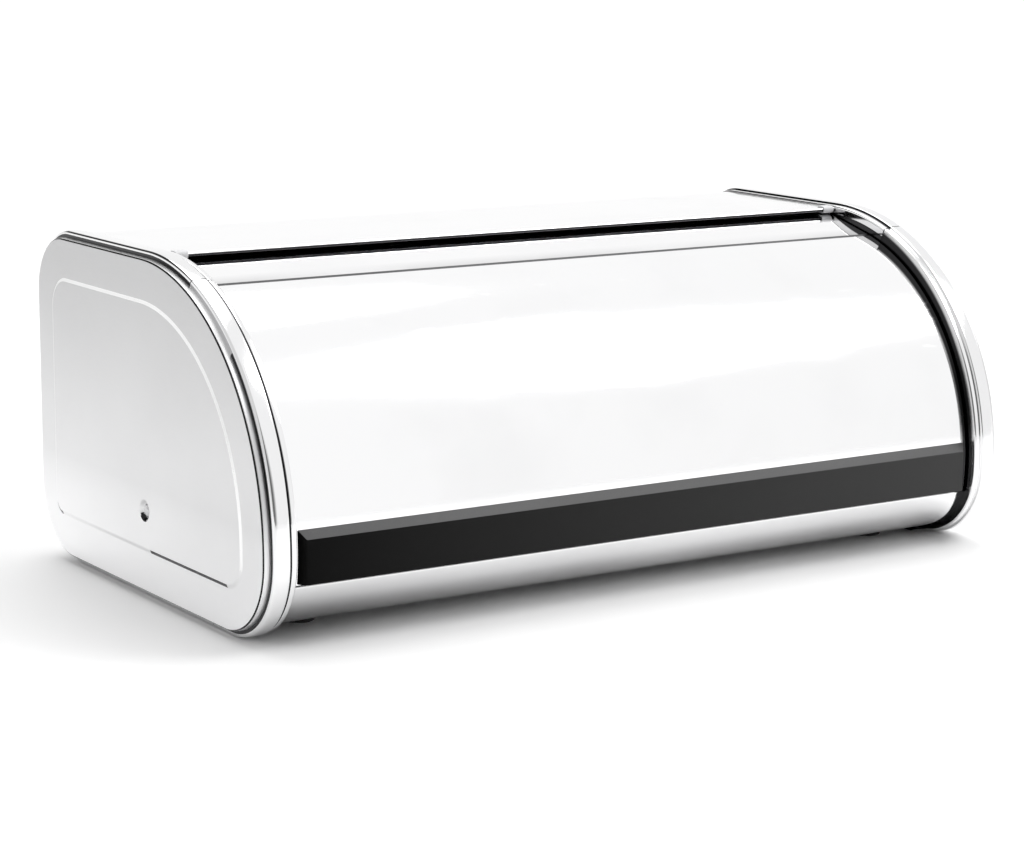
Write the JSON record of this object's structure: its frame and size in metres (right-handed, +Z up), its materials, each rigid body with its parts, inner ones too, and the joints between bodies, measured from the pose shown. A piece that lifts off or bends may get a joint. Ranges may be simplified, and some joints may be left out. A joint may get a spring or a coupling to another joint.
{
  "type": "bread box with roll top",
  "caption": "Long steel bread box with flat rear top, rounded hooped ends and a curved lid with a black bar handle that turns up and back under the top.",
  "frame": {"origin": "middle of the bounding box's base, on the worktop under the feet", "axes": "+X along the box to its right end as seen from the front, +Y from the lid side to the rear, +Z up"},
  "size_m": [0.46, 0.26, 0.178],
  "materials": {
    "wrap_steel": "mirror-polished stainless steel",
    "lid_steel": "mirror-polished stainless steel",
    "end_steel": "fine satin stainless steel",
    "arm_steel": "stamped steel",
    "pin_steel": "turned steel",
    "black_plastic": "fine satin black",
    "bush_plastic": "moulded acetal",
    "buffer_plastic": "soft grey plastic",
    "foot_rubber": "matt"
  },
  "bodies": {
    "case": {"body_wrap": "wrap_steel", "front_arch_left": "wrap_steel", "front_arch_right": "wrap_steel", "side_panel_left": "end_steel", "side_panel_right": "end_steel", "pivot_pin_left": "pin_steel", "pivot_pin_right": "pin_steel", "pivot_washer_left": "pin_steel", "pivot_washer_right": "pin_steel", "pivot_clip_left": "pin_steel", "pivot_clip_right": "pin_steel", "open_stop_left": "pin_steel", "open_stop_right": "pin_steel", "nose_buffer_left": "buffer_plastic", "nose_buffer_right": "buffer_plastic", "lip_buffer_left": "buffer_plastic", "lip_buffer_right": "buffer_plastic", "stop_sleeve_left": "buffer_plastic", "stop_sleeve_right": "buffer_plastic", "foot_front_left": "foot_rubber", "foot_front_right": "foot_rubber", "foot_rear_left": "foot_rubber", "foot_rear_right": "foot_rubber"},
    "lid": {"lid_sheet": "lid_steel", "handle_bar": "black_plastic", "handle_screws": "pin_steel", "lid_arm_left": "arm_steel", "lid_arm_right": "arm_steel", "pivot_bush_left": "bush_plastic", "pivot_bush_right": "bush_plastic"}
  },
  "joints": [
    {"name": "lid_roll", "type": "hinge", "parent": "case", "child": "lid", "pos_m": [0, -0.001, 0.0466], "axis": [-1, 0, 0], "range_deg": [0, 84]}
  ]
}
